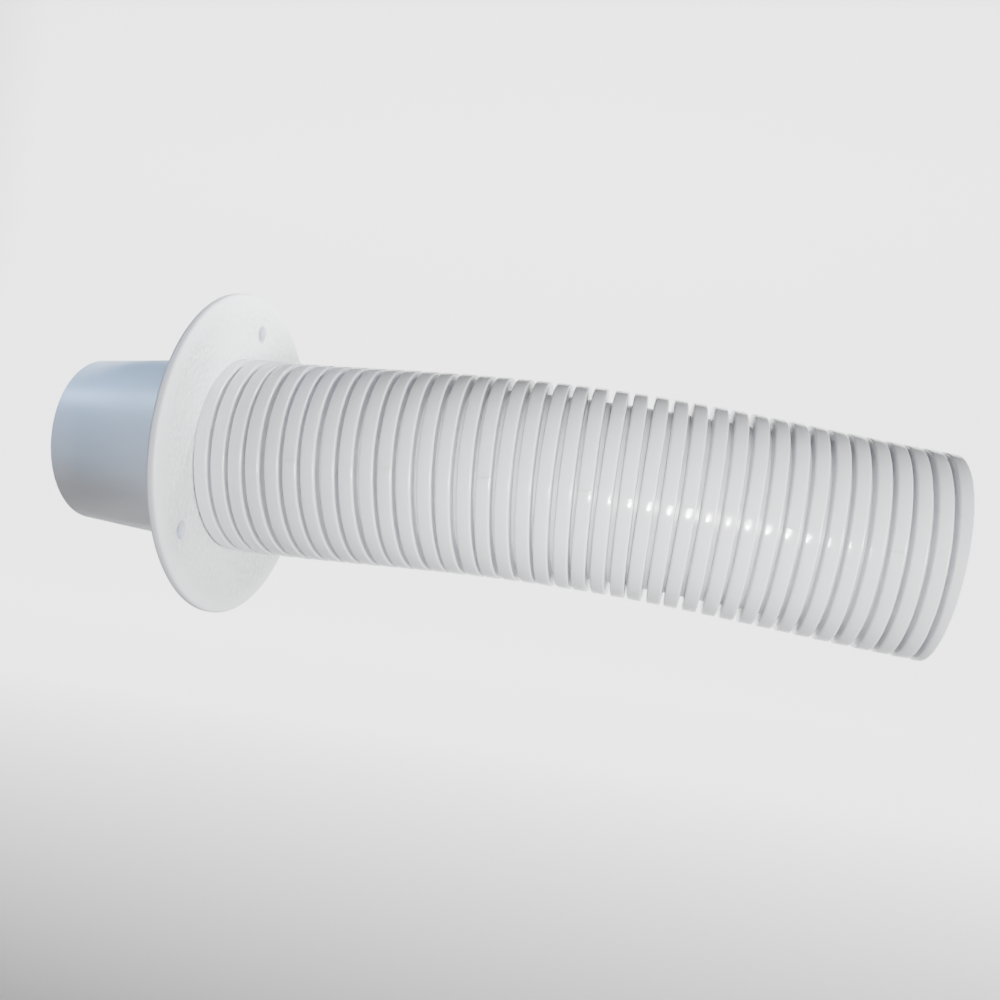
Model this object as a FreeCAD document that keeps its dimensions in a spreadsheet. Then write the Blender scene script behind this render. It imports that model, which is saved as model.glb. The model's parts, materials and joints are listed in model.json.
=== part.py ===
import FreeCAD, Part
import math
import os
import Sketcher

# Flanged bulkhead tube fitting with a short ribbed duct hose on its front.
# Millimetres.  The origin is the centre of the flange's mounting face, +X runs
# along the fitting towards the hose, +Z is up.  The fitting is one moulding, made
# here as the stub, the flange and the spigot, which meet face to face.  The hose
# is one liner inside a right-handed spiral rib.  The rib is parted every turn
# and a quarter, where the hose bends: the parts turn on the line through each
# cut, by turns about the hose's side axis and its upright axis.

SIZES = [
    ("flange_diameter", 100.0),
    ("flange_thickness", 3.0),
    ("flange_edge_round", 0.9),
    ("stub_length", 48.2),
    ("stub_root_wall", 6.7),
    ("stub_end_wall", 2.7),
    ("stub_end_round", 0.8),
    ("spigot_wall", 2.55),
    ("spigot_setback", 0.4),
    ("spigot_lead", 1.5),
    ("spigot_lead_depth", 0.8),
    ("spigot_clearance", 0.05),
    ("screw_circle_inset", 0.4),
    ("screw_hole_diameter", 5.4),
    ("screw_mouth_round", 0.45),
    ("screw_angle_top", 80.0),
    ("screw_angle_near", 216.0),
    ("screw_angle_far", 328.0),
    ("hose_length", 212.0),
    ("hose_bore", 50.8),
    ("hose_seat_gap", 0.1),
    ("liner_wall", 0.8),
    ("liner_clearance", 0.1),
    ("rib_pitch", 5.49),
    ("rib_height", 3.7),
    ("groove_width", 1.0),
    ("rib_draft", 3.0),
    ("rib_corner_round", 0.6),
    ("rib_end_land", 1.0),
    ("first_cut", 15.9),
    ("cut_gap", 0.25),
    ("side_bend_first", 1.15),
    ("side_bend_last", 0.26),
    ("drop_bend_ends", -1.07),
    ("drop_bend_middle", 1.27),
]

TURNS_PER_PART = 1.25
SHORTEST_TAIL_TURNS = 1.5

doc = FreeCAD.newDocument("duct_hose_fitting")
sheet = doc.addObject("Spreadsheet::Sheet", "Sizes")
for row, (alias, value) in enumerate(SIZES, start=1):
    sheet.set("A%d" % row, alias)
    sheet.set("B%d" % row, repr(value))
    sheet.setAlias("B%d" % row, alias)
doc.recompute()


def size(alias):
    return float(sheet.get(alias))


def with_sheet(expression):
    """Write the sheet's name before each alias used in an expression."""
    words = expression.split(" ")
    aliases = {alias for alias, value in SIZES}
    return " ".join("Sizes." + word if word in aliases else word for word in words)


def evaluate(expression):
    """Value of an expression in the sheet's aliases."""
    return float(sheet.evalExpression(with_sheet(expression)))


# Radii and widths that follow from the sheet, from the duct outwards.
SPIGOT_RADIUS = "( hose_bore / 2 - spigot_clearance )"
DUCT_RADIUS = "( %s - spigot_wall )" % SPIGOT_RADIUS
STUB_ROOT_RADIUS = "( %s + stub_root_wall )" % DUCT_RADIUS
STUB_END_RADIUS = "( %s + stub_end_wall )" % DUCT_RADIUS
RIB_INNER = "( hose_bore / 2 + liner_wall + liner_clearance )"
RIB_OUTER = "( %s + rib_height )" % RIB_INNER
RIB_WIDTH = "( rib_pitch - groove_width )"
SCREW_CIRCLE_RADIUS = "( ( flange_diameter / 2 + %s ) / 2 - 2 * screw_circle_inset )" % RIB_OUTER

liner_outer_radius = size("hose_bore") / 2 + size("liner_wall")
rib_inner_radius = evaluate(RIB_INNER)
rib_outer_radius = evaluate(RIB_OUTER)
part_length = TURNS_PER_PART * size("rib_pitch")
hose_start = size("flange_thickness") + size("hose_seat_gap")
hose_end = size("flange_thickness") + size("hose_length")
first_joint = size("flange_thickness") + size("first_cut")
tail = SHORTEST_TAIL_TURNS * size("rib_pitch")
joint_count = int((hose_end - tail - first_joint) / part_length) + 1


def origin_plane(body, role):
    return [item for item in body.Origin.OriginFeatures if item.Role == role][0]


def new_sketch(body, name, role):
    sketch = body.newObject("Sketcher::SketchObject", name)
    sketch.AttachmentSupport = [(origin_plane(body, role), "")]
    sketch.MapMode = "FlatFace"
    return sketch


def bind_distance(sketch, kind, first, second, expression):
    """Set a distance between two points and tie it to the sheet."""
    value = evaluate(expression)
    index = sketch.addConstraint(Sketcher.Constraint(kind, *first, *second, value))
    sketch.setExpression("Constraints[%d]" % index, with_sheet(expression))


def polygon(sketch, corners):
    """Closed outline.  A corner is two expressions, each "0" or a distance.

    A distance that starts with a minus sign lies on the axis's negative side.
    """
    guesses = [FreeCAD.Vector(evaluate(x), evaluate(y), 0) for x, y in corners]
    count = len(corners)
    for index in range(count):
        line = Part.LineSegment(guesses[index], guesses[(index + 1) % count])
        sketch.addGeometry(line, False)
    for index in range(count):
        sketch.addConstraint(
            Sketcher.Constraint("Coincident", index, 2, (index + 1) % count, 1))
    origin = (-1, 1)
    axes = {"DistanceX": -2, "DistanceY": -1}
    for index, corner in enumerate(corners):
        for kind, text in zip(("DistanceX", "DistanceY"), corner):
            if text == "0":
                sketch.addConstraint(
                    Sketcher.Constraint("PointOnObject", index, 1, axes[kind]))
            elif text.startswith("-"):
                bind_distance(sketch, kind, (index, 1), origin, text[1:].strip())
            else:
                bind_distance(sketch, kind, origin, (index, 1), text)


def add_feature(body, kind, name, sketch=None):
    feature = body.newObject(kind, name)
    if sketch is not None:
        feature.Profile = sketch
        sketch.Visibility = False
    return feature


def removed_volume(body, feature, before):
    """Check that a cut took something away."""
    doc.recompute()
    if feature.Shape.Volume >= before - 1e-6:
        raise RuntimeError("%s cut nothing" % feature.Name)
    body.Tip = feature


def round_edges(body, name, wanted, alias):
    """Fillet every edge of the tip for which wanted(edge) is true."""
    doc.recompute()
    base = body.Tip
    names = ["Edge%d" % number for number, edge in enumerate(base.Shape.Edges, start=1)
             if wanted(edge)]
    fillet = body.newObject("PartDesign::Fillet", name)
    fillet.Base = (base, names)
    fillet.setExpression("Radius", "Sizes." + alias)
    body.Tip = fillet
    doc.recompute()


def is_circle(edge, radius, x_position):
    curve = edge.Curve
    if not isinstance(curve, Part.Circle):
        return False
    return abs(curve.Radius - radius) < 0.01 and abs(curve.Center.x - x_position) < 0.01


def turned_body(name, corners):
    """A body turned about the tube's axis from an outline of its wall."""
    body = doc.addObject("PartDesign::Body", name)
    outline = new_sketch(body, name + "_outline", "XY_Plane")
    polygon(outline, corners)
    turned = add_feature(body, "PartDesign::Revolution", name + "_turned", outline)
    turned.ReferenceAxis = (outline, ["H_Axis"])
    turned.Angle = 360
    body.Tip = turned
    doc.recompute()
    return body


def make_stub():
    """The tapered tube that goes through the bulkhead, up to the flange's front."""
    body = turned_body("rear_stub", [
        ("-stub_length", DUCT_RADIUS),
        ("-stub_length", STUB_END_RADIUS),
        ("0", STUB_ROOT_RADIUS),
        ("flange_thickness", STUB_ROOT_RADIUS),
        ("flange_thickness", DUCT_RADIUS),
    ])
    round_edges(body, "stub_end_edge",
                lambda edge: is_circle(edge, evaluate(STUB_END_RADIUS), -size("stub_length")),
                "stub_end_round")
    return body


def make_spigot():
    """The short tube that the hose is pushed over, with a lead at its tip."""
    tip = "flange_thickness + first_cut - spigot_setback"
    return turned_body("hose_spigot", [
        ("flange_thickness", DUCT_RADIUS),
        ("flange_thickness", SPIGOT_RADIUS),
        (tip + " - spigot_lead", SPIGOT_RADIUS),
        (tip, SPIGOT_RADIUS + " - spigot_lead_depth"),
        (tip, DUCT_RADIUS),
    ])


def make_flange():
    """The round plate about the stub's root, drilled for its screws."""
    body = turned_body("bulkhead_flange", [
        ("0", STUB_ROOT_RADIUS),
        ("0", "flange_diameter / 2"),
        ("flange_thickness", "flange_diameter / 2"),
        ("flange_thickness", STUB_ROOT_RADIUS),
    ])
    before = body.Tip.Shape.Volume
    holes = new_sketch(body, "screw_hole_circles", "YZ_Plane")
    diameter = size("screw_hole_diameter")
    for index, angle in enumerate(("screw_angle_top", "screw_angle_near", "screw_angle_far")):
        across = "%s * cos( %s * 1 deg )" % (SCREW_CIRCLE_RADIUS, angle)
        upwards = "%s * sin( %s * 1 deg )" % (SCREW_CIRCLE_RADIUS, angle)
        centre = FreeCAD.Vector(evaluate(across), evaluate(upwards), 0)
        circle = Part.Circle(centre, FreeCAD.Vector(0, 0, 1), diameter / 2)
        holes.addGeometry(circle, False)
        bind_distance(holes, "DistanceX", (-1, 1), (index, 3), across)
        bind_distance(holes, "DistanceY", (-1, 1), (index, 3), upwards)
        number = holes.addConstraint(Sketcher.Constraint("Diameter", index, diameter))
        holes.setExpression("Constraints[%d]" % number, "Sizes.screw_hole_diameter")
    drilled = add_feature(body, "PartDesign::Pocket", "screw_holes", holes)
    drilled.Type = "Length"
    drilled.setExpression("Length", with_sheet("2 * flange_thickness"))
    drilled.Midplane = False
    drilled.Reversed = True
    removed_volume(body, drilled, before)

    front = size("flange_thickness")
    rim = size("flange_diameter") / 2
    hole = size("screw_hole_diameter") / 2
    round_edges(body, "flange_edges",
                lambda edge: is_circle(edge, rim, 0.0) or is_circle(edge, rim, front),
                "flange_edge_round")
    round_edges(body, "screw_mouths",
                lambda edge: is_circle(edge, hole, front),
                "screw_mouth_round")
    return body


def rib_section(body, name):
    """Section of the rib: flanks with a little draft and rounded crest corners."""
    sketch = new_sketch(body, name, "XY_Plane")
    draft = math.radians(size("rib_draft"))
    corner = size("rib_corner_round")
    root = evaluate(RIB_WIDTH) / 2
    height = rib_outer_radius - rib_inner_radius
    crest = root - height * math.tan(draft)
    reach = corner * math.tan((math.pi / 2 - draft) / 2)
    centre_x = crest - reach
    centre_y = rib_outer_radius - corner
    flank_x = centre_x + corner * math.cos(draft)
    flank_y = centre_y + corner * math.sin(draft)

    def line(x1, y1, x2, y2):
        return Part.LineSegment(FreeCAD.Vector(x1, y1, 0), FreeCAD.Vector(x2, y2, 0))

    def arc(x, start, end):
        circle = Part.Circle(FreeCAD.Vector(x, centre_y, 0), FreeCAD.Vector(0, 0, 1), corner)
        return Part.ArcOfCircle(circle, start, end)

    sketch.addGeometry([
        line(-root, rib_inner_radius, root, rib_inner_radius),
        line(root, rib_inner_radius, flank_x, flank_y),
        arc(centre_x, draft, math.pi / 2),
        line(centre_x, rib_outer_radius, -centre_x, rib_outer_radius),
        arc(-centre_x, math.pi / 2, math.pi - draft),
        line(-flank_x, flank_y, -root, rib_inner_radius),
    ], False)
    base, right, right_arc, top, left_arc, left = range(6)
    for constraint in (
            ("Coincident", base, 2, right, 1),
            ("Tangent", right, 2, right_arc, 1),
            ("Tangent", right_arc, 2, top, 1),
            ("Tangent", top, 2, left_arc, 1),
            ("Tangent", left_arc, 2, left, 1),
            ("Coincident", left, 2, base, 1),
            ("Horizontal", top),
            ("Symmetric", base, 1, base, 2, -2),
            ("Equal", right, left),
            ("Equal", right_arc, left_arc)):
        sketch.addConstraint(Sketcher.Constraint(*constraint))
    bind_distance(sketch, "DistanceX", (base, 1), (base, 2), RIB_WIDTH)
    bind_distance(sketch, "DistanceY", (-1, 1), (base, 1), RIB_INNER)
    bind_distance(sketch, "DistanceY", (-1, 1), (top, 1), RIB_OUTER)
    lean = sketch.addConstraint(Sketcher.Constraint("Angle", right, math.pi / 2 + draft))
    sketch.setExpression("Constraints[%d]" % lean, with_sheet("( 90 + rib_draft ) * 1 deg"))
    radius = sketch.addConstraint(Sketcher.Constraint("Radius", right_arc, corner))
    sketch.setExpression("Constraints[%d]" % radius, "Sizes.rib_corner_round")
    return sketch


def trim_square(body, name, start, end):
    """Cut a rib off square to the hose between two distances along it."""
    outline = new_sketch(body, name + "_outline", "XY_Plane")
    polygon(outline, [
        (start, RIB_INNER + " - rib_height"),
        (end, RIB_INNER + " - rib_height"),
        (end, RIB_OUTER + " + rib_height"),
        (start, RIB_OUTER + " + rib_height"),
    ])
    before = body.Tip.Shape.Volume
    cut = add_feature(body, "PartDesign::Groove", name, outline)
    cut.ReferenceAxis = (outline, ["H_Axis"])
    cut.Angle = 360
    removed_volume(body, cut, before)


def make_rib(name, turns):
    """A stretch of the spiral rib, wound about +X from its section at +Y."""
    body = doc.addObject("PartDesign::Body", name)
    wound = add_feature(body, "PartDesign::AdditiveHelix", name + "_wound",
                        rib_section(body, name + "_section"))
    wound.ReferenceAxis = (wound.Profile[0], ["H_Axis"])
    wound.Mode = "pitch-turns-angle"
    wound.setExpression("Pitch", "Sizes.rib_pitch")
    wound.setExpression("Turns", with_sheet(turns))
    wound.LeftHanded = False
    wound.Reversed = False
    body.Tip = wound
    doc.recompute()
    return body


# How far the rib's middle runs past the hose's square end, so that the part of
# it that is left at its tip is as wide as the land.
PAST_SQUARE_END = "( %s / 2 - rib_end_land )" % RIB_WIDTH

# Half of each cut's gap, as turns of the rib about the hose.
HALF_GAP_TURNS = "cut_gap / ( 4 * pi * %s )" % RIB_OUTER
half_gap_turns = evaluate(HALF_GAP_TURNS)


def wind_placement(frame, turns_before):
    """Placement of a rib that starts this many turns after the frame's +Y."""
    along = FreeCAD.Vector(turns_before * size("rib_pitch"), 0, 0)
    about = FreeCAD.Rotation(FreeCAD.Vector(1, 0, 0), 360 * turns_before)
    return frame.multiply(FreeCAD.Placement(along, about))


def rest_bend(number):
    """The angle at which a joint rests, in degrees, and the axis it turns about."""
    along = number / (joint_count - 1)
    if number % 2 == 0:
        ends = size("drop_bend_ends")
        angle = ends + (size("drop_bend_middle") - ends) * math.sin(math.pi * along)
        return angle, FreeCAD.Vector(0, 1, 0)
    first = size("side_bend_first")
    angle = first + (size("side_bend_last") - first) * along
    return angle, FreeCAD.Vector(0, 0, 1)


def hose_frames():
    """Frames along the hose: one at the first cut, and one past each joint."""
    frames = []
    frame = FreeCAD.Placement(FreeCAD.Vector(first_joint, 0, 0), FreeCAD.Rotation())
    for number in range(joint_count):
        angle, axis = rest_bend(number)
        turn = FreeCAD.Placement(FreeCAD.Vector(), FreeCAD.Rotation(axis, angle))
        frame = frame.multiply(turn)
        frames.append(frame)
        step = FreeCAD.Placement(FreeCAD.Vector(part_length, 0, 0), FreeCAD.Rotation())
        frame = frame.multiply(step)
    return frames


def make_gripped_rib():
    """The rib's first turns, from the flange to the first cut, over the spigot."""
    turns = "( first_cut - hose_seat_gap + %s ) / rib_pitch" % PAST_SQUARE_END
    body = make_rib("hose_rib_00", turns + " - " + HALF_GAP_TURNS)
    trim_square(body, "hose_rib_00_seat", "-rib_pitch", PAST_SQUARE_END)
    start = FreeCAD.Placement(FreeCAD.Vector(first_joint, 0, 0), FreeCAD.Rotation())
    body.Placement = wind_placement(start, -evaluate(turns))
    return body


def make_free_ribs(frames):
    """One stretch of rib past each joint; the last runs to the hose's square end."""
    bodies = []
    for number, frame in enumerate(frames):
        name = "hose_rib_%02d" % (number + 1)
        quarter_turns = number % 4 * (TURNS_PER_PART % 1)
        about = FreeCAD.Rotation(FreeCAD.Vector(1, 0, 0), 360 * quarter_turns)
        wound_frame = frame.multiply(FreeCAD.Placement(FreeCAD.Vector(), about))
        if number < joint_count - 1:
            body = make_rib(name, "%s - 2 * %s" % (TURNS_PER_PART, HALF_GAP_TURNS))
        else:
            left = "hose_length - first_cut - %s * rib_pitch" % (TURNS_PER_PART * number)
            body = make_rib(name, "( %s + %s ) / rib_pitch" % (left, PAST_SQUARE_END))
            trim_square(body, name + "_end", left, left + " + 2 * rib_pitch")
        body.Placement = wind_placement(wound_frame, half_gap_turns)
        bodies.append(body)
    return bodies


def make_liner(frames):
    """The thin skin inside the rib, swept along straight runs and tangent arcs."""
    corners = [FreeCAD.Vector(hose_start, 0, 0)]
    corners += [frame.Base for frame in frames]
    left = hose_end - first_joint - part_length * (joint_count - 1)
    corners.append(frames[-1].multVec(FreeCAD.Vector(left, 0, 0)))
    edges = []
    last = corners[0]
    for before, corner, after in zip(corners, corners[1:], corners[2:]):
        reach = 0.45 * min((corner - before).Length, (after - corner).Length)
        enter = corner + (before - corner).normalize() * reach
        leave = corner + (after - corner).normalize() * reach
        turn = (corner - before).getAngle(after - corner)
        radius = reach / math.tan(turn / 2)
        centre_way = ((enter + leave) * 0.5 - corner).normalize()
        centre = corner + centre_way * (radius / math.cos(turn / 2))
        middle = centre - centre_way * radius
        edges.append(Part.makeLine(last, enter))
        edges.append(Part.Arc(enter, middle, leave).toShape())
        last = leave
    edges.append(Part.makeLine(last, corners[-1]))
    path = Part.Wire(edges)

    def tube(radius):
        ring = Part.Wire(Part.makeCircle(radius, corners[0], FreeCAD.Vector(1, 0, 0)))
        return path.makePipeShell([ring], True, True)

    inner = size("hose_bore") / 2
    shape = tube(liner_outer_radius).cut(tube(inner))
    expected = math.pi * (liner_outer_radius ** 2 - inner ** 2) * path.Length
    if abs(shape.Volume / expected - 1) > 0.01:
        raise RuntimeError("the liner's volume is wrong")
    liner = doc.addObject("Part::Feature", "hose_liner")
    liner.Shape = shape
    return liner


def main():
    frames = hose_frames()
    parts = [make_stub(), make_flange(), make_spigot(), make_gripped_rib()]
    parts += make_free_ribs(frames)
    parts.append(make_liner(frames))
    doc.recompute()
    for item in doc.Objects:
        if "Invalid" in item.State or "Error" in item.State:
            raise RuntimeError("%s is %s" % (item.Name, item.State))
    os.makedirs("parts", exist_ok=True)
    for part in parts:
        part.Label = part.Name
        shape = part.Shape
        if shape.isNull() or not shape.isValid() or len(shape.Solids) != 1:
            raise RuntimeError("%s has no single valid solid" % part.Label)
    for part in parts:
        part.Shape.exportStep("parts/%s.step" % part.Label)
        print(part.Label, round(part.Shape.Volume, 1))


main()
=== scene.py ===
import json
import math

import bmesh
import bpy
from mathutils import Matrix, Vector, noise


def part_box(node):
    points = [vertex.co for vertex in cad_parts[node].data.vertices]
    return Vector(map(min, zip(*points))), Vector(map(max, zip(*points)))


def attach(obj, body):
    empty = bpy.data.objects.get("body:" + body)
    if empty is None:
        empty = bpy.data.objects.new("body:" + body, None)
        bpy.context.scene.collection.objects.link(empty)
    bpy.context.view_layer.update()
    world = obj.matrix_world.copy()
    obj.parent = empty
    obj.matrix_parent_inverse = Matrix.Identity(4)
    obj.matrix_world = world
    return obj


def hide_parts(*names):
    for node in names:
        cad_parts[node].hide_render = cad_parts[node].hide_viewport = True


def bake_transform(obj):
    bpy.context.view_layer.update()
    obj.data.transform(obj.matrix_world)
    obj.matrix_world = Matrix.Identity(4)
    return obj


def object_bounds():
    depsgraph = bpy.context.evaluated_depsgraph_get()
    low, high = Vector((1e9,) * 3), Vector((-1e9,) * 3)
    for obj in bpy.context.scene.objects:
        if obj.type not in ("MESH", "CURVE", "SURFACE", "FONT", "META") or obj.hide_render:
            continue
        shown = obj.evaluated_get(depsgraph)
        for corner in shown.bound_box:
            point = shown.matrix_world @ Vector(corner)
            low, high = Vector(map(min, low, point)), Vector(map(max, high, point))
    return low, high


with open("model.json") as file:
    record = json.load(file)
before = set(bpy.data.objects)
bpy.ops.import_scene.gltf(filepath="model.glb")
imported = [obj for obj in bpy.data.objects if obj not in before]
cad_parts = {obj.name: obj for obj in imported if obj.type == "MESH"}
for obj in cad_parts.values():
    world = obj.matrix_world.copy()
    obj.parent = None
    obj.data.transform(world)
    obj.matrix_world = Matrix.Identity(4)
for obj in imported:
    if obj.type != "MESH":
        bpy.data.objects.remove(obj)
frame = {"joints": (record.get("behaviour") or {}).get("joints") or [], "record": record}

MM = 0.001
X, Y = Vector((1, 0, 0)), Vector((0, 1, 0))
cad_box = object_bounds()
record = frame["record"]
mounts = {mount["name"]: mount for mount in record["mounts"]}
joints = sorted(frame["joints"], key=lambda joint: joint["child"])

# ---------------------------------------------------------------- sizes
FITTING_NODES = ("rear_stub", "bulkhead_flange", "hose_spigot")
FLANGE_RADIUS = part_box("bulkhead_flange")[1].y
FLANGE_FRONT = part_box("bulkhead_flange")[1].x
STUB_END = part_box("rear_stub")[0].x
STUB_ROOT_RADIUS = 29.5 * MM
STUB_END_RADIUS = 25.5 * MM
DUCT_RADIUS = mounts["duct_bore"]["dims"]["r_mm"] * MM
SPIGOT_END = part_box("hose_spigot")[1].x
SCREW_HOLE_RADIUS = mounts["screw_hole_top"]["dims"]["r_mm"] * MM
SCREW_MOUTH_ROUND = 0.5 * MM
RIM_ROUND = 1.0 * MM
STUB_END_ROUND = 0.8 * MM
STUB_ROOT_ROUND = 0.6 * MM
SPIGOT_CLEARANCE = 0.05 * MM
SPIGOT_LEAD = 1.5 * MM
SPIGOT_LEAD_DEPTH = 0.8 * MM

HOSE_RADIUS = 30.0 * MM
RIB_FOOT_RADIUS = 26.2 * MM
RIB_PITCH = 5.49 * MM
RIB_FOOT_WIDTH = 4.49 * MM
RIB_CREST_WIDTH = 4.10 * MM
RIB_SHOULDER = 0.5 * MM
PART_TURNS = 1.25
LINER_RADIUS = 26.2 * MM
BORE_RADIUS = mounts["hose_free_end"]["dims"]["r_mm"] * MM
HOSE_SEAT = FLANGE_FRONT + 0.05 * MM
BEND_REACH = 1.6 * MM
RIB_WAVER = 0.05 * MM

FITTING_STEPS = 240
SCREW_HOLE_STEPS = 48
RIB_STEPS_PER_TURN = 120
LINER_STEPS = 96
MERGE_WITHIN = 0.001 * MM
SHARP_ANGLE = math.radians(35)


# ---------------------------------------------------------------- the hose's line
def frame_matrix(origin, along, side):
    """A right-handed frame with +X along the hose and +Y to its side."""
    along = along.normalized()
    up = along.cross(side).normalized()
    side = up.cross(along).normalized()
    turn = Matrix((along, side, up)).transposed().to_4x4()
    return Matrix.Translation(origin) @ turn


hinges = [Vector(joint["pos_m"]) for joint in joints]
hose_end = Vector(mounts["hose_free_end"]["pos_m"])
stations = hinges + [hose_end]
part_frames = [frame_matrix(hinges[0], X, Y)]
for number, joint in enumerate(joints):
    along = stations[number + 1] - stations[number]
    axis = Vector(joint["axis"])
    side = axis if number % 2 == 0 else axis.cross(along)
    part_frames.append(frame_matrix(hinges[number], along, side))
part_names = ["fitting"] + [joint["child"] for joint in joints]
PART_LENGTH = PART_TURNS * RIB_PITCH


# ---------------------------------------------------------------- mesh helpers
def keep(mesh, name, material):
    """Turns a finished bmesh into an object at the origin."""
    bmesh.ops.remove_doubles(mesh, verts=mesh.verts, dist=MERGE_WITHIN)
    bmesh.ops.recalc_face_normals(mesh, faces=mesh.faces)
    data = bpy.data.meshes.new(name)
    mesh.to_mesh(data)
    mesh.free()
    data.shade_smooth()
    data.set_sharp_from_angle(angle=SHARP_ANGLE)
    data.materials.append(material)
    piece = bpy.data.objects.new(name, data)
    bpy.context.scene.collection.objects.link(piece)
    return piece


def outline_edges(mesh, corners, closed=True):
    """A chain of edges through (distance along X, radius) corners, in the XY plane."""
    verts = [mesh.verts.new((along, radius, 0)) for along, radius in corners]
    ends = verts[1:] + verts[:1] if closed else verts[1:]
    return [mesh.edges.new(pair) for pair in zip(verts, ends)]


def spin_round(mesh, edges, steps):
    verts = list({vert for edge in edges for vert in edge.verts})
    bmesh.ops.spin(mesh, geom=verts + edges, cent=(0, 0, 0), axis=X, dvec=(0, 0, 0),
                   angle=math.tau, steps=steps, use_merge=True)
    bmesh.ops.remove_doubles(mesh, verts=mesh.verts, dist=MERGE_WITHIN)


def ring_edges(mesh, along, radius, tolerance=0.02 * MM):
    """The edges of the circle at this distance along X and of this radius."""
    found = []
    for edge in mesh.edges:
        if all(abs(vert.co.x - along) < tolerance
               and abs(math.hypot(vert.co.y, vert.co.z) - radius) < tolerance
               for vert in edge.verts):
            found.append(edge)
    return found


def round_over(mesh, edges, radius, segments):
    bmesh.ops.bevel(mesh, geom=edges, offset=radius, offset_type="OFFSET", segments=segments,
                    profile=0.5, affect="EDGES", clamp_overlap=True, material=-1)


# ---------------------------------------------------------------- material helpers
class Nodes:
    """A material's node tree, with short ways to add and join nodes."""

    def __init__(self, name):
        self.material = bpy.data.materials.new(name)
        self.material.use_nodes = True
        self.tree = self.material.node_tree
        self.shader = self.tree.nodes["Principled BSDF"]
        self.place = self.add("ShaderNodeTexCoord").outputs["Object"]

    def add(self, kind, **settings):
        node = self.tree.nodes.new(kind)
        for key, value in settings.items():
            setattr(node, key, value)
        return node

    def feed(self, socket, value):
        if isinstance(value, bpy.types.NodeSocket):
            self.tree.links.new(value, socket)
        else:
            socket.default_value = value

    def math(self, operation, first, second=0.0, clamp=False):
        node = self.add("ShaderNodeMath", operation=operation, use_clamp=clamp)
        self.feed(node.inputs[0], first)
        self.feed(node.inputs[1], second)
        return node.outputs[0]

    def noise(self, scale, detail=3.0, roughness=0.5):
        node = self.add("ShaderNodeTexNoise")
        self.feed(node.inputs["Vector"], self.place)
        node.inputs["Scale"].default_value = scale
        node.inputs["Detail"].default_value = detail
        node.inputs["Roughness"].default_value = roughness
        return node.outputs["Fac"]

    def ramp(self, value, low, high, to_low=0.0, to_high=1.0):
        node = self.add("ShaderNodeMapRange", clamp=True)
        self.feed(node.inputs["Value"], value)
        for name, number in (("From Min", low), ("From Max", high),
                             ("To Min", to_low), ("To Max", to_high)):
            node.inputs[name].default_value = number
        return node.outputs["Result"]

    def mix_colours(self, share, first, second):
        node = self.add("ShaderNodeMix", data_type="RGBA")
        self.feed(node.inputs["Factor"], share)
        for socket, colour in ((node.inputs[6], first), (node.inputs[7], second)):
            if isinstance(colour, bpy.types.NodeSocket):
                self.feed(socket, colour)
            else:
                socket.default_value = (*colour, 1.0)
        return node.outputs[2]

    def bump(self, height, distance, strength=1.0, onto=None):
        node = self.add("ShaderNodeBump")
        node.inputs["Strength"].default_value = strength
        node.inputs["Distance"].default_value = distance
        self.feed(node.inputs["Height"], height)
        if onto is not None:
            self.feed(node.inputs["Normal"], onto)
        return node.outputs["Normal"]

    def set(self, **values):
        for name, value in values.items():
            self.feed(self.shader.inputs[name.replace("_", " ")], value)
        return self.material


def moulded_white():
    """Satin white moulding, pebble-grained on the flange's front, with painted shade in the
    hollows between the pebbles.
    """
    nodes = Nodes("moulded_white")
    split = nodes.add("ShaderNodeSeparateXYZ")
    nodes.feed(split.inputs[0], nodes.place)
    on_front = nodes.ramp(split.outputs["X"], FLANGE_FRONT - 0.3 * MM, FLANGE_FRONT - 0.05 * MM)
    across = nodes.math("POWER", split.outputs["Y"], 2.0)
    upwards = nodes.math("POWER", split.outputs["Z"], 2.0)
    radius = nodes.math("SQRT", nodes.math("ADD", across, upwards))
    inside_rim = nodes.ramp(radius, FLANGE_RADIUS - 1.5 * MM, FLANGE_RADIUS - 6 * MM)
    grain_here = nodes.math("MULTIPLY", on_front, inside_rim)
    patches = nodes.ramp(nodes.noise(28.0, 2.0), 0.35, 0.65, 0.45, 1.0)
    grain_here = nodes.math("MULTIPLY", grain_here, patches)
    pebbles = nodes.add("ShaderNodeTexVoronoi", feature="SMOOTH_F1")
    nodes.feed(pebbles.inputs["Vector"], nodes.place)
    pebbles.inputs["Scale"].default_value = 720.0
    pebbles.inputs["Smoothness"].default_value = 0.55
    fine = nodes.noise(1500.0, 2.0)
    height = nodes.math("SUBTRACT", nodes.math("MULTIPLY", fine, 0.5),
                        pebbles.outputs["Distance"])
    height = nodes.math("MULTIPLY", height, grain_here)
    grain = nodes.bump(height, 0.9 * MM, 1.0)
    ripple = nodes.bump(nodes.noise(90.0, 2.0), 0.08 * MM, 0.5, grain)
    tint = nodes.mix_colours(nodes.ramp(nodes.noise(40.0, 3.0), 0.35, 0.65),
                             (0.80, 0.835, 0.83), (0.83, 0.85, 0.86))
    # painted shade: the colour darkens in the hollows between the pebbles, where shade would fall
    pebble_hollow_shade = nodes.ramp(pebbles.outputs["Distance"], 0.25, 0.6, 0.0, 0.7)
    pebble_hollow_shade = nodes.math("MULTIPLY", pebble_hollow_shade, grain_here)
    tint = nodes.mix_colours(pebble_hollow_shade, tint, (0.66, 0.71, 0.71))
    body_tint = nodes.mix_colours(nodes.noise(18.0), (0.80, 0.82, 0.87), (0.84, 0.85, 0.89))
    colour = nodes.mix_colours(on_front, body_tint, tint)
    roughness = nodes.math("ADD", nodes.ramp(nodes.noise(60.0), 0.3, 0.7, 0.36, 0.46),
                           nodes.math("MULTIPLY", grain_here, 0.08))
    return nodes.set(Base_Color=colour, Roughness=roughness, Normal=ripple, IOR=1.49,
                     Subsurface_Weight=0.1, Subsurface_Scale=0.002,
                     Subsurface_Radius=(1.0, 1.0, 1.0))


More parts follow.
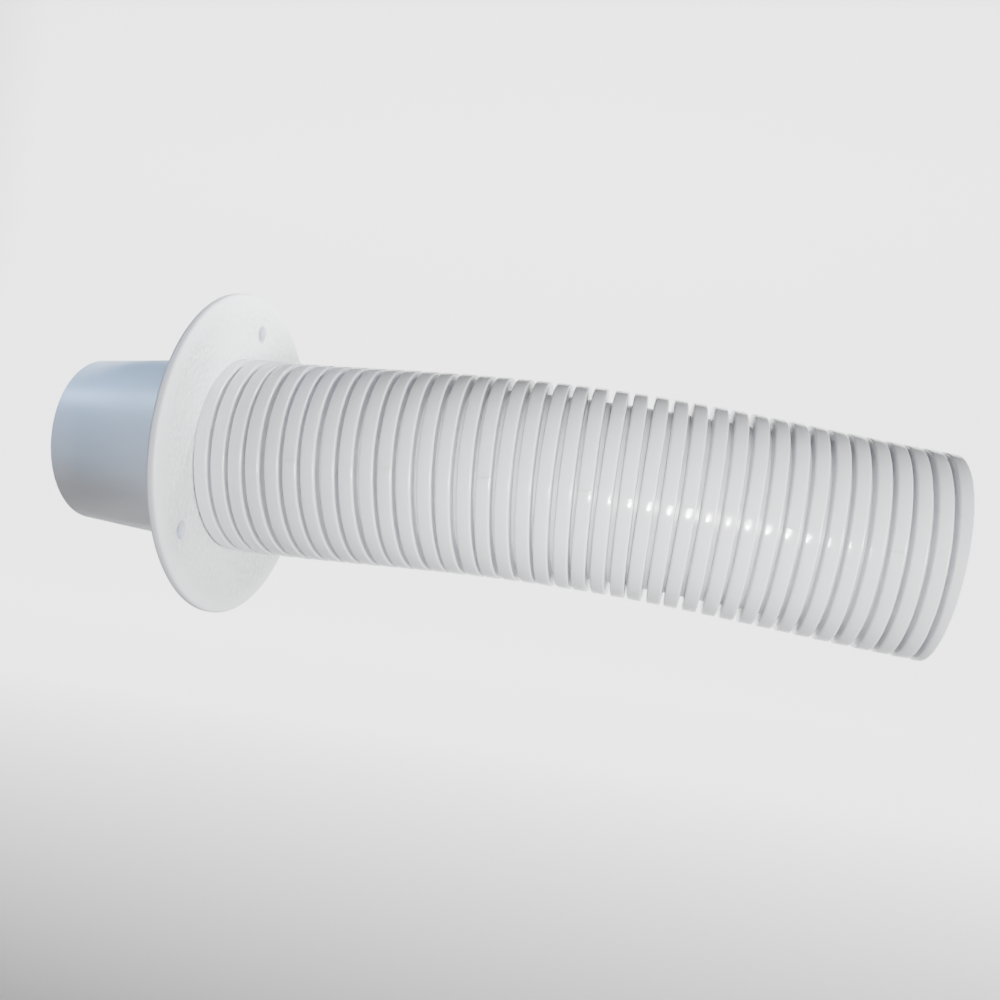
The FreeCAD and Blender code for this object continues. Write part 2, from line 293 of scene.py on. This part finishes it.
def ribbed_white(name, low, high, shine_low, shine_high, depth):
    """Glossy PVC with slow changes of tone and a skin that isn't quite even."""
    nodes = Nodes(name)
    colour = nodes.mix_colours(nodes.ramp(nodes.noise(35.0, 4.0), 0.3, 0.7), low, high)
    roughness = nodes.ramp(nodes.noise(140.0, 3.0), 0.3, 0.7, shine_low, shine_high)
    slow = nodes.bump(nodes.noise(110.0, 2.0), depth, 0.6)
    skin = nodes.bump(nodes.noise(900.0, 2.0), 0.02 * MM, 0.35, slow)
    return nodes.set(Base_Color=colour, Roughness=roughness, Normal=skin, IOR=1.53,
                     Subsurface_Weight=0.5, Subsurface_Scale=0.0015,
                     Subsurface_Radius=(1.0, 1.0, 1.0))


# ---------------------------------------------------------------- fitting
def make_fitting(material):
    """Stub, flange and hidden spigot, turned as one, then drilled for the screws."""
    spigot_radius = BORE_RADIUS - SPIGOT_CLEARANCE
    mesh = bmesh.new()
    edges = outline_edges(mesh, [
        (STUB_END, DUCT_RADIUS),
        (STUB_END, STUB_END_RADIUS),
        (0, STUB_ROOT_RADIUS),
        (0, FLANGE_RADIUS),
        (FLANGE_FRONT, FLANGE_RADIUS),
        (FLANGE_FRONT, spigot_radius),
        (SPIGOT_END - SPIGOT_LEAD, spigot_radius),
        (SPIGOT_END, spigot_radius - SPIGOT_LEAD_DEPTH),
        (SPIGOT_END, DUCT_RADIUS),
    ])
    spin_round(mesh, edges, FITTING_STEPS)
    rims = ring_edges(mesh, 0, FLANGE_RADIUS) + ring_edges(mesh, FLANGE_FRONT, FLANGE_RADIUS)
    round_over(mesh, rims, RIM_ROUND, 5)
    stub_lips = ring_edges(mesh, STUB_END, STUB_END_RADIUS)
    stub_lips += ring_edges(mesh, STUB_END, DUCT_RADIUS)
    round_over(mesh, stub_lips, STUB_END_ROUND, 4)
    round_over(mesh, ring_edges(mesh, 0, STUB_ROOT_RADIUS), STUB_ROOT_ROUND, 3)
    fitting = keep(mesh, "tube_fitting", material)
    drill_screw_holes(fitting)
    return fitting


def drill_screw_holes(fitting):
    """Cuts the three screw holes, each with a rounded mouth."""
    mesh = bmesh.new()
    clear = 1.0 * MM
    turns = [math.pi / 8 * step for step in range(5)]
    mouth = [(FLANGE_FRONT - SCREW_MOUTH_ROUND * (1 - math.sin(turn)),
              SCREW_HOLE_RADIUS + SCREW_MOUTH_ROUND * (1 - math.cos(turn))) for turn in turns]
    for name in ("screw_hole_top", "screw_hole_near", "screw_hole_far"):
        centre = Vector(mounts[name]["pos_m"])
        cutter = bmesh.new()
        edges = outline_edges(cutter, [
            (-clear, 0),
            (-clear, SCREW_HOLE_RADIUS),
            *mouth,
            (FLANGE_FRONT + clear, SCREW_HOLE_RADIUS + SCREW_MOUTH_ROUND),
            (FLANGE_FRONT + clear, 0),
        ], closed=False)
        spin_round(cutter, edges, SCREW_HOLE_STEPS)
        bmesh.ops.translate(cutter, verts=cutter.verts, vec=(0, centre.y, centre.z))
        part = bpy.data.meshes.new("drill")
        cutter.to_mesh(part)
        cutter.free()
        mesh.from_mesh(part)
        bpy.data.meshes.remove(part)
    drills = keep(mesh, "drills", fitting.data.materials[0])
    cut = fitting.modifiers.new("screw_holes", "BOOLEAN")
    cut.operation = "DIFFERENCE"
    cut.solver = "EXACT"
    cut.object = drills
    bpy.context.view_layer.update()
    solid = bpy.data.meshes.new_from_object(fitting.evaluated_get(
        bpy.context.evaluated_depsgraph_get()))
    fitting.modifiers.clear()
    fitting.data = solid
    solid.shade_smooth()
    solid.set_sharp_from_angle(angle=SHARP_ANGLE)
    bpy.data.objects.remove(drills)


# ---------------------------------------------------------------- hose
def square_off(mesh, along, keep_side):
    """Cuts a rib off square to the hose and closes the cut."""
    geometry = mesh.verts[:] + mesh.edges[:] + mesh.faces[:]
    bmesh.ops.bisect_plane(mesh, geom=geometry, dist=0.0005 * MM, plane_co=(along, 0, 0),
                           plane_no=(keep_side, 0, 0), clear_inner=True)
    open_edges = [edge for edge in mesh.edges if edge.is_boundary]
    bmesh.ops.holes_fill(mesh, edges=open_edges, sides=0)


def wound_rib(turns):
    """A stretch of rib wound right-handed about +X, from its section at +Y."""
    mesh = bmesh.new()
    foot, crest = RIB_FOOT_WIDTH / 2, RIB_CREST_WIDTH / 2
    edges = outline_edges(mesh, [
        (-foot, RIB_FOOT_RADIUS), (foot, RIB_FOOT_RADIUS),
        (crest, HOSE_RADIUS), (-crest, HOSE_RADIUS)])
    start = [vert for edge in edges for vert in edge.verts]
    start = list(dict.fromkeys(start))
    steps = max(int(round(turns * RIB_STEPS_PER_TURN)), 4)
    result = bmesh.ops.spin(mesh, geom=start + edges, cent=(0, 0, 0), axis=X,
                            dvec=(turns * RIB_PITCH / steps, 0, 0),
                            angle=turns * math.tau, steps=steps, use_merge=False)
    last = [item for item in result["geom_last"] if isinstance(item, bmesh.types.BMEdge)]
    for ring in (edges, last):
        bmesh.ops.contextual_create(mesh, geom=ring)
    bmesh.ops.recalc_face_normals(mesh, faces=mesh.faces)
    shoulders = []
    for edge in mesh.edges:
        high = all(math.hypot(v.co.y, v.co.z) > HOSE_RADIUS - 0.05 * MM for v in edge.verts)
        if high and len(edge.link_faces) == 2 and abs(edge.calc_face_angle()) > 1.0:
            along = (edge.verts[0].co - edge.verts[1].co)
            if abs(along.x) < 0.5 * along.length:
                shoulders.append(edge)
    round_over(mesh, shoulders, RIB_SHOULDER, 5)
    return mesh


def settle_rib(mesh, seed):
    """Gives the rib the slight waver of an extruded strip."""
    for vert in mesh.verts:
        far = vert.co * 60.0 + Vector((seed * 3.7, 0, 0))
        vert.co.x += RIB_WAVER * noise.noise(far)


def make_rib(number, from_turn, turns, material):
    """One body's stretch of rib: its section starts this far round from +Y."""
    mesh = wound_rib(turns)
    start = Matrix.Rotation(math.tau * from_turn, 4, "X")
    if number == 0:
        start = Matrix.Translation(X * from_turn * RIB_PITCH) @ start
    bmesh.ops.transform(mesh, matrix=start, verts=mesh.verts)
    if number == 0:
        square_off(mesh, HOSE_SEAT - hinges[0].x, 1)
    if number == len(joints):
        square_off(mesh, (hose_end - hinges[-1]).length, -1)
    settle_rib(mesh, number)
    bmesh.ops.transform(mesh, matrix=part_frames[number], verts=mesh.verts)
    rib = keep(mesh, "rib_%02d" % number, material)
    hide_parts("hose_rib_%02d" % number)
    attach(rib, part_names[number])
    return rib


def make_ribs(material):
    to_flange = (hinges[0].x - HOSE_SEAT) / RIB_PITCH
    gripped = math.ceil(to_flange + 0.5)
    make_rib(0, -gripped, gripped, material)
    for number in range(1, len(joints) + 1):
        turns = PART_TURNS
        if number == len(joints):
            turns = math.ceil((hose_end - hinges[-1]).length / RIB_PITCH + 0.5)
        make_rib(number, (number - 1) * PART_TURNS % 1, turns, material)


def liner_wall(mesh, places):
    """A tube through these frames: out along the outer wall, back along the inner one."""
    route = [(at, LINER_RADIUS) for at in places] + [(at, BORE_RADIUS) for at in reversed(places)]
    route.append(route[0])
    to_x = Matrix.Rotation(math.pi / 2, 4, "Y")
    ring = bmesh.ops.create_circle(mesh, cap_ends=False, segments=LINER_STEPS, radius=LINER_RADIUS,
                                   matrix=places[0] @ to_x)
    edges = list({edge for vert in ring["verts"] for edge in vert.link_edges})
    for (at, radius), (next_at, next_radius) in zip(route, route[1:]):
        grown = bmesh.ops.extrude_edge_only(mesh, edges=edges)["geom"]
        verts = {item for item in grown if isinstance(item, bmesh.types.BMVert)}
        edges = [item for item in grown if isinstance(item, bmesh.types.BMEdge)
                 and verts.issuperset(item.verts)]
        resize = Matrix.Diagonal((1, next_radius / radius, next_radius / radius, 1))
        bmesh.ops.transform(mesh, matrix=next_at @ resize @ at.inverted(), verts=list(verts))


def make_liner(material):
    """The hose's skin, in one piece for each joint that it bends at."""
    half = PART_LENGTH / 2
    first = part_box("hose_liner")[0].x
    places = [Matrix.Translation(X * (first - hinges[0].x)), Matrix.Translation(-X * half)]
    mesh = bmesh.new()
    liner_wall(mesh, [part_frames[0] @ place for place in places])
    seated = keep(mesh, "liner_00", material)
    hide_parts("hose_liner")
    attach(seated, "fitting")
    for number, joint in enumerate(joints):
        before, after = part_frames[number], part_frames[number + 1]
        back = PART_LENGTH if number else 0
        last = number == len(joints) - 1
        ahead = (hose_end - hinges[-1]).length if last else half
        places = [before @ Matrix.Translation(X * (back - half)),
                  before @ Matrix.Translation(X * (back - BEND_REACH)),
                  after @ Matrix.Translation(X * BEND_REACH),
                  after @ Matrix.Translation(X * ahead)]
        mesh = bmesh.new()
        liner_wall(mesh, places)
        piece = keep(mesh, "liner_%02d" % (number + 1), material)
        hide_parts("hose_liner")
        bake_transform(piece)


# ---------------------------------------------------------------- studio
BACKDROP_GLOW = 3.0


def make_floor():
    """A pale sheet below the part that curves up behind it and glows softly there."""
    mesh = bmesh.new()
    level = cad_box[0].z - 250 * MM
    curve = [(1.4 + math.sin(angle), level + 1.0 - math.cos(angle))
             for angle in (math.pi / 2 * step / 16 for step in range(17))]
    verts = [mesh.verts.new((-4.0, along, height))
             for along, height in [(-4.0, level), *curve, (2.4, 3.2)]]
    edges = [mesh.edges.new(pair) for pair in zip(verts, verts[1:])]
    bmesh.ops.extrude_edge_only(mesh, edges=edges)
    moved = [vert for vert in mesh.verts if vert not in verts]
    bmesh.ops.translate(mesh, verts=moved, vec=(8.0, 0, 0))
    nodes = Nodes("paper")
    split = nodes.add("ShaderNodeSeparateXYZ")
    nodes.feed(split.inputs[0], nodes.place)
    glow = nodes.ramp(split.outputs["Y"], 0.15, 0.9, 0.0, BACKDROP_GLOW)
    for axis, dark, bright in (("X", -2.6, -1.9), ("X", 1.5, 0.8), ("Z", 1.3, 1.08)):
        glow = nodes.math("MULTIPLY", glow, nodes.ramp(split.outputs[axis], dark, bright))
    nodes.set(Base_Color=(0.93, 0.93, 0.93, 1.0), Roughness=0.9)
    paper = nodes.set(Emission_Color=(1.0, 1.0, 1.0, 1.0), Emission_Strength=glow)
    keep(mesh, "floor", paper)


def add_light(name, place, aim, size, watts, colour=(1, 1, 1), spread=180):
    data = bpy.data.lights.new(name, "AREA")
    data.shape = "RECTANGLE"
    data.size, data.size_y = size
    data.energy = watts
    data.color = colour
    data.spread = math.radians(spread)
    lamp = bpy.data.objects.new(name, data)
    lamp.location = place
    lamp.rotation_euler = (Vector(aim) - Vector(place)).to_track_quat("-Z", "Y").to_euler()
    bpy.context.scene.collection.objects.link(lamp)


def add_lights():
    middle = (0.09, 0.0, 0.0)
    add_light("key_right", (1.00, -0.44, -0.05), middle, (0.40, 0.25), 1.75, (1, 1, 1), 50)
    add_light("front_glint", (0.27, -0.72, -0.12), (0.115, 0.0, 0.0), (0.025, 0.02), 0.13,
              (1, 1, 1), 32)
    add_light("front_soft", (0.30, -0.75, -0.08), (0.14, 0.0, 0.0), (0.10, 0.08), 0.07,
              (1, 1, 1), 22)
    add_light("flange_top", (0.35, 0.10, 0.30), (0.0, 0.0, 0.06), (0.06, 0.06), 0.07,
              (0.95, 0.98, 1.0), 16)
    add_light("stub_fill", (-0.35, -0.14, 0.30), (-0.035, -0.01, 0.01), (0.06, 0.06), 0.025,
              (0.42, 0.66, 1.0), 14)
    world = bpy.data.worlds.new("studio")
    world.use_nodes = True
    sky = world.node_tree.nodes["Background"]
    sky.inputs["Color"].default_value = (0.93, 0.96, 1.0, 1.0)
    sky.inputs["Strength"].default_value = 0.05
    bpy.context.scene.world = world


CAMERA_PLACE = (0.17953, -0.34398, 0.00476)
CAMERA_AZIMUTH = math.radians(14.851)
CAMERA_DOWN = math.radians(1.587)
CAMERA_ROLL = math.radians(5.964)


def add_camera():
    data = bpy.data.cameras.new("camera")
    data.sensor_width = 36.0
    data.lens = 36.0 * 1.201
    data.clip_start, data.clip_end = 0.01, 20.0
    camera = bpy.data.objects.new("camera", data)
    bpy.context.scene.collection.objects.link(camera)
    turn = (Matrix.Rotation(CAMERA_AZIMUTH, 4, "Z")
            @ Matrix.Rotation(math.pi / 2 - CAMERA_DOWN, 4, "X")
            @ Matrix.Rotation(CAMERA_ROLL, 4, "Z"))
    camera.matrix_world = Matrix.Translation(CAMERA_PLACE) @ turn
    bpy.context.scene.camera = camera


# ---------------------------------------------------------------- putting it together
fitting = make_fitting(moulded_white())
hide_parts(*FITTING_NODES)
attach(fitting, "fitting")
make_ribs(ribbed_white("rib_pvc", (0.76, 0.77, 0.80), (0.80, 0.81, 0.84),
                       0.10, 0.15, 0.05 * MM))
# the liner's white is lighter than the ribs': painted light that brightens the groove floors
# between the ribs
make_liner(ribbed_white("liner_pvc", (0.86, 0.87, 0.89), (0.90, 0.91, 0.93),
                        0.26, 0.34, 0.04 * MM))
make_floor()
add_lights()
add_camera()
